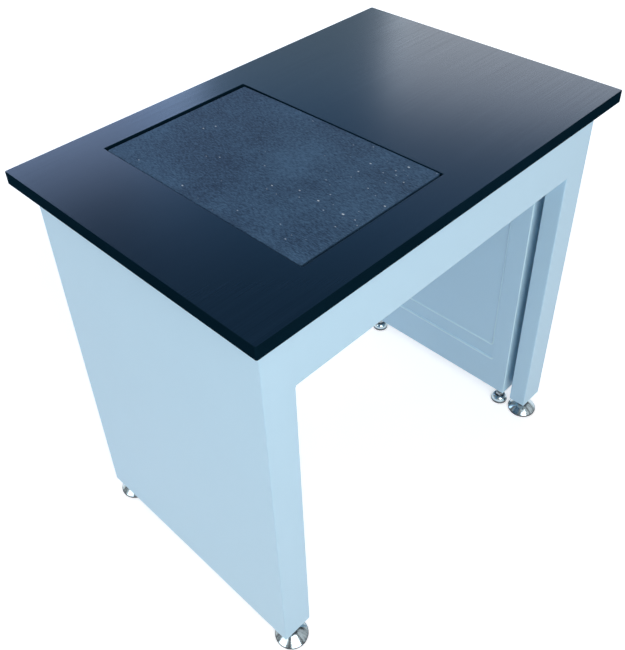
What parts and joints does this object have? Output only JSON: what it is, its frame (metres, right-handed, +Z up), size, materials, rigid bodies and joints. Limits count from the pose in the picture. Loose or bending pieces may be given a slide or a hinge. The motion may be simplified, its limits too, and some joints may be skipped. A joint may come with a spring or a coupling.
{
  "type": "weighing balance table",
  "caption": "Balance table: black worktop on a pale steel stand, with a granite slab let into it that stands on its own inner pedestal with rubber isolators and levelling feet.",
  "frame": {"origin": "on the floor, below the middle of the worktop", "axes": "+X along the worktop to the user's right, +Y from the user to the back, +Z up"},
  "size_m": [0.9, 0.6, 0.85],
  "materials": {
    "paint": "satin",
    "board": "satin",
    "granite": "matte",
    "rubber": "matte",
    "zinc": "satin",
    "chrome": "polished"
  },
  "bodies": {
    "pedestal": {"left_pedestal_casing": "paint", "left_pedestal_infill": "paint", "left_bearer": "paint", "right_pedestal_casing": "paint", "right_pedestal_infill": "paint", "right_bearer": "paint", "front_beam": "paint", "rear_beam": "paint", "front_left_upright": "zinc", "front_left_isolator": "rubber", "front_left_pedestal_jam_nut": "zinc", "rear_left_upright": "zinc", "rear_left_isolator": "rubber", "rear_left_pedestal_jam_nut": "zinc", "front_right_upright": "zinc", "front_right_isolator": "rubber", "front_right_pedestal_jam_nut": "zinc", "rear_right_upright": "zinc", "rear_right_isolator": "rubber", "rear_right_pedestal_jam_nut": "zinc"},
    "bearing_plate": {"slab_bearing_plate": "zinc"},
    "slab": {"granite_slab": "granite"},
    "outer_table": {"worktop": "board", "left_side_panel": "paint", "right_side_panel": "paint", "front_apron": "paint", "rear_apron": "paint", "front_left_post": "paint", "front_left_foot_plate": "zinc", "front_left_table_jam_nut": "zinc", "rear_left_post": "paint", "rear_left_foot_plate": "zinc", "rear_left_table_jam_nut": "zinc", "front_right_post": "paint", "front_right_foot_plate": "zinc", "front_right_table_jam_nut": "zinc", "rear_right_post": "paint", "rear_right_foot_plate": "zinc", "rear_right_table_jam_nut": "zinc"},
    "front_left_table_pad": {"front_left_table_foot_pad": "chrome"},
    "front_left_table_stem": {"front_left_table_foot_stem": "zinc"},
    "rear_left_table_pad": {"rear_left_table_foot_pad": "chrome"},
    "rear_left_table_stem": {"rear_left_table_foot_stem": "zinc"},
    "front_right_table_pad": {"front_right_table_foot_pad": "chrome"},
    "front_right_table_stem": {"front_right_table_foot_stem": "zinc"},
    "rear_right_table_pad": {"rear_right_table_foot_pad": "chrome"},
    "rear_right_table_stem": {"rear_right_table_foot_stem": "zinc"},
    "front_left_pedestal_pad": {"front_left_pedestal_foot_pad": "chrome"},
    "front_left_pedestal_stem": {"front_left_pedestal_foot_stem": "zinc"},
    "rear_left_pedestal_pad": {"rear_left_pedestal_foot_pad": "chrome"},
    "rear_left_pedestal_stem": {"rear_left_pedestal_foot_stem": "zinc"},
    "front_right_pedestal_pad": {"front_right_pedestal_foot_pad": "chrome"},
    "front_right_pedestal_stem": {"front_right_pedestal_foot_stem": "zinc"},
    "rear_right_pedestal_pad": {"rear_right_pedestal_foot_pad": "chrome"},
    "rear_right_pedestal_stem": {"rear_right_pedestal_foot_stem": "zinc"}
  },
  "joints": [
    {"name": "table_lift_off", "type": "slide", "parent": "pedestal", "child": "outer_table", "axis": [0, 0, 1], "range_m": [0, 0.86]},
    {"name": "isolator_travel", "type": "slide", "parent": "pedestal", "child": "bearing_plate", "axis": [0, 0, 1], "range_m": [-0.003, 0.002], "stiffness_N_per_m": 113000, "springref_m": 0.002, "deforming": ["front_left_isolator", "rear_left_isolator", "front_right_isolator", "rear_right_isolator"]},
    {"name": "slab_lift_out", "type": "slide", "parent": "bearing_plate", "child": "slab", "axis": [0, 0, 1], "range_m": [0, 0.12]},
    {"name": "front_left_table_level", "type": "slide", "parent": "outer_table", "child": "front_left_table_pad", "axis": [0, 0, -1], "range_m": [-0.01, 0.025]},
    {"name": "front_left_table_screw", "type": "hinge", "parent": "front_left_table_pad", "child": "front_left_table_stem", "pos_m": [-0.388, -0.2465, 0.045], "axis": [0, 0, -1], "range_deg": [-2060, 5145]},
    {"name": "rear_left_table_level", "type": "slide", "parent": "outer_table", "child": "rear_left_table_pad", "axis": [0, 0, -1], "range_m": [-0.01, 0.025]},
    {"name": "rear_left_table_screw", "type": "hinge", "parent": "rear_left_table_pad", "child": "rear_left_table_stem", "pos_m": [-0.388, 0.2545, 0.045], "axis": [0, 0, -1], "range_deg": [-2060, 5145]},
    {"name": "front_right_table_level", "type": "slide", "parent": "outer_table", "child": "front_right_table_pad", "axis": [0, 0, -1], "range_m": [-0.01, 0.025]},
    {"name": "front_right_table_screw", "type": "hinge", "parent": "front_right_table_pad", "child": "front_right_table_stem", "pos_m": [0.4, -0.2465, 0.045], "axis": [0, 0, -1], "range_deg": [-2060, 5145]},
    {"name": "rear_right_table_level", "type": "slide", "parent": "outer_table", "child": "rear_right_table_pad", "axis": [0, 0, -1], "range_m": [-0.01, 0.025]},
    {"name": "rear_right_table_screw", "type": "hinge", "parent": "rear_right_table_pad", "child": "rear_right_table_stem", "pos_m": [0.4, 0.2545, 0.045], "axis": [0, 0, -1], "range_deg": [-2060, 5145]},
    {"name": "front_left_pedestal_level", "type": "slide", "parent": "pedestal", "child": "front_left_pedestal_pad", "axis": [0, 0, -1], "range_m": [-0.01, 0.025]},
    {"name": "front_left_pedestal_screw", "type": "hinge", "parent": "front_left_pedestal_pad", "child": "front_left_pedestal_stem", "pos_m": [-0.376, -0.1892, 0.045], "axis": [0, 0, -1], "range_deg": [-2405, 6005]},
    {"name": "rear_left_pedestal_level", "type": "slide", "parent": "pedestal", "child": "rear_left_pedestal_pad", "axis": [0, 0, -1], "range_m": [-0.01, 0.025]},
    {"name": "rear_left_pedestal_screw", "type": "hinge", "parent": "rear_left_pedestal_pad", "child": "rear_left_pedestal_stem", "pos_m": [-0.376, 0.1972, 0.045], "axis": [0, 0, -1], "range_deg": [-2405, 6005]},
    {"name": "front_right_pedestal_level", "type": "slide", "parent": "pedestal", "child": "front_right_pedestal_pad", "axis": [0, 0, -1], "range_m": [-0.01, 0.025]},
    {"name": "front_right_pedestal_screw", "type": "hinge", "parent": "front_right_pedestal_pad", "child": "front_right_pedestal_stem", "pos_m": [0.388, -0.1892, 0.045], "axis": [0, 0, -1], "range_deg": [-2405, 6005]},
    {"name": "rear_right_pedestal_level", "type": "slide", "parent": "pedestal", "child": "rear_right_pedestal_pad", "axis": [0, 0, -1], "range_m": [-0.01, 0.025]},
    {"name": "rear_right_pedestal_screw", "type": "hinge", "parent": "rear_right_pedestal_pad", "child": "rear_right_pedestal_stem", "pos_m": [0.388, 0.1972, 0.045], "axis": [0, 0, -1], "range_deg": [-2405, 6005]}
  ],
  "couplings": [
    {"joint": "front_left_table_screw", "follows": "front_left_table_level", "rad_per_m": 3590.4},
    {"joint": "rear_left_table_screw", "follows": "rear_left_table_level", "rad_per_m": 3590.4},
    {"joint": "front_right_table_screw", "follows": "front_right_table_level", "rad_per_m": 3590.4},
    {"joint": "rear_right_table_screw", "follows": "rear_right_table_level", "rad_per_m": 3590.4},
    {"joint": "front_left_pedestal_screw", "follows": "front_left_pedestal_level", "rad_per_m": 4188.8},
    {"joint": "rear_left_pedestal_screw", "follows": "rear_left_pedestal_level", "rad_per_m": 4188.8},
    {"joint": "front_right_pedestal_screw", "follows": "front_right_pedestal_level", "rad_per_m": 4188.8},
    {"joint": "rear_right_pedestal_screw", "follows": "rear_right_pedestal_level", "rad_per_m": 4188.8}
  ]
}
